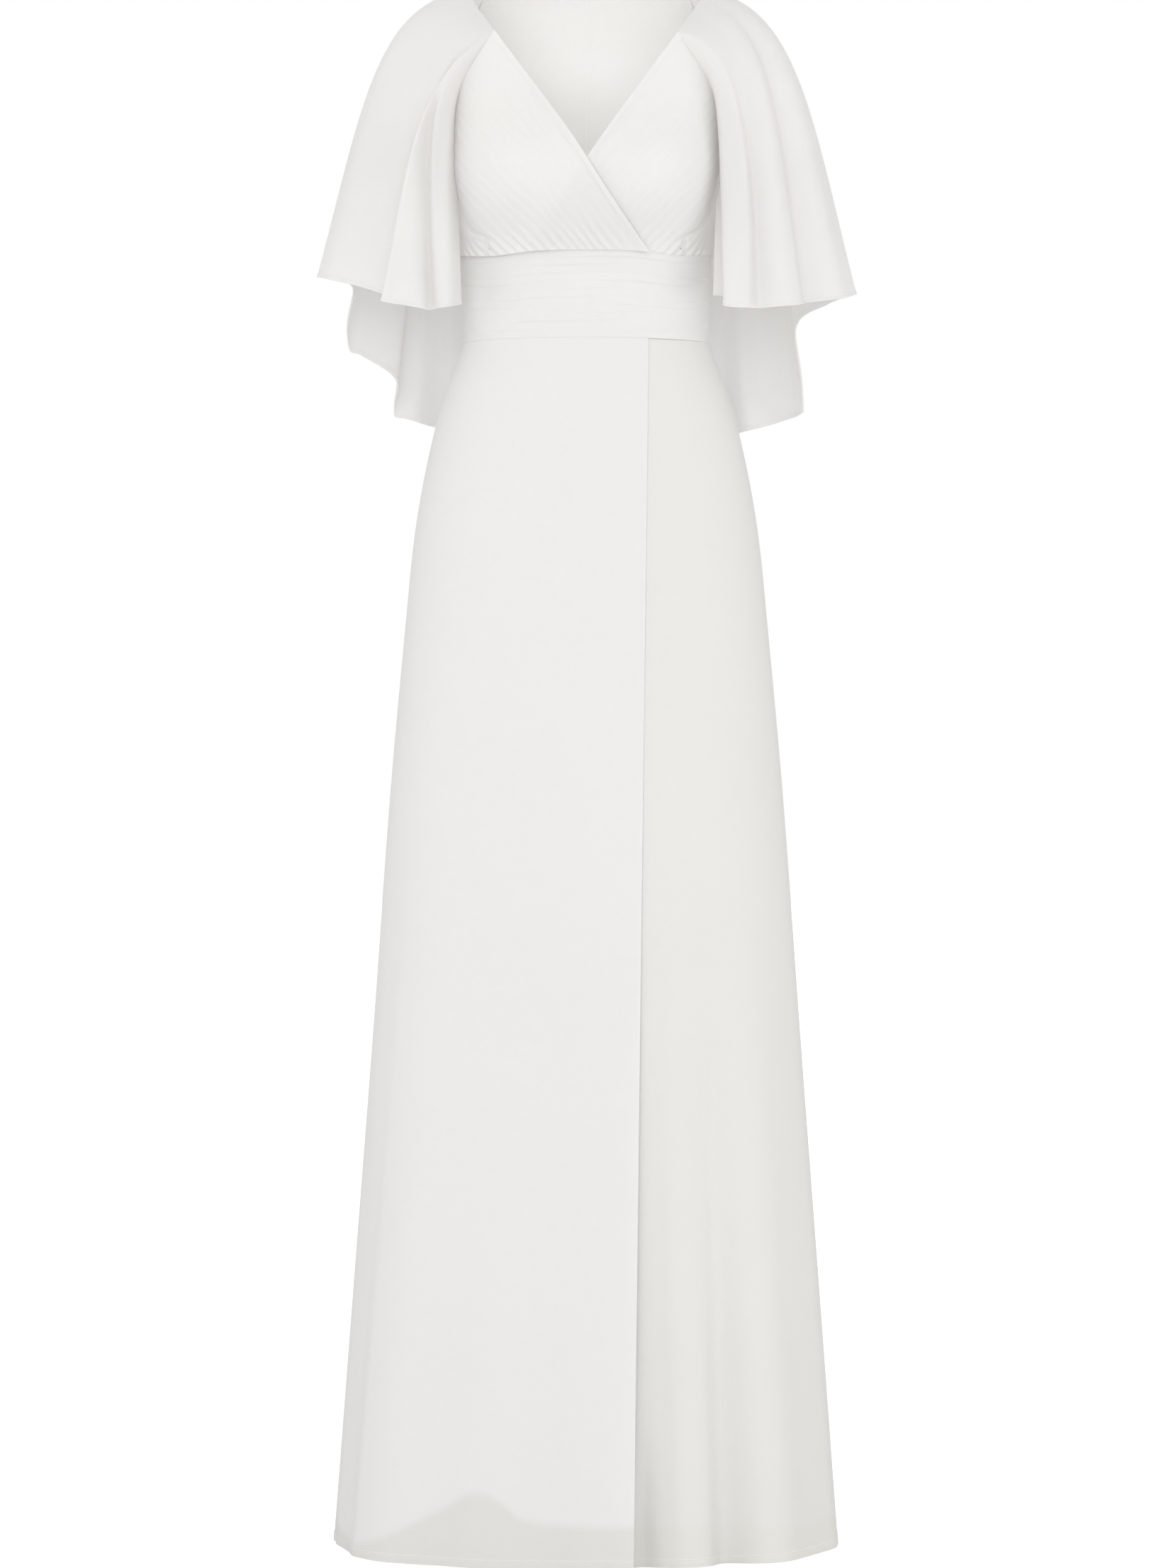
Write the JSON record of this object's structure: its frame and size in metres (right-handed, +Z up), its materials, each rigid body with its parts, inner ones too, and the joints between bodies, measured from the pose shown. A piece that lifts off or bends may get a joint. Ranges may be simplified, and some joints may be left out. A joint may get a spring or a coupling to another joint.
{
  "type": "evening dress",
  "caption": "Full-length ivory evening dress with a pleated surplice neck, a tucked waistband, flutter sleeves and a wrap-front skirt, in the hollow form it has when worn.",
  "frame": {"origin": "midway between the two points where the neck edge crosses the shoulders, where the wearer holds the dress up", "axes": "+Z up, the front faces -Y, +X towards the wearer's left side"},
  "size_m": [0.5304, 0.3809, 1.5401],
  "materials": {
    "chiffon": "matt ivory crepe chiffon with a soft sheen",
    "lining": "smooth ivory lining cloth"
  },
  "bodies": {
    "root": {"bodice_front_right": "chiffon", "bodice_front_left": "chiffon", "bodice_back_right": "chiffon", "bodice_back_left": "chiffon", "waistband_front": "chiffon", "waistband_back_right": "chiffon", "waistband_back_left": "chiffon", "skirt_front_right": "chiffon", "skirt_front_left": "chiffon", "skirt_back_right": "chiffon", "skirt_back_left": "chiffon", "skirt_lining_front": "lining", "skirt_lining_back": "lining", "sleeve_right": "chiffon", "sleeve_left": "chiffon"}
  },
  "joints": []
}
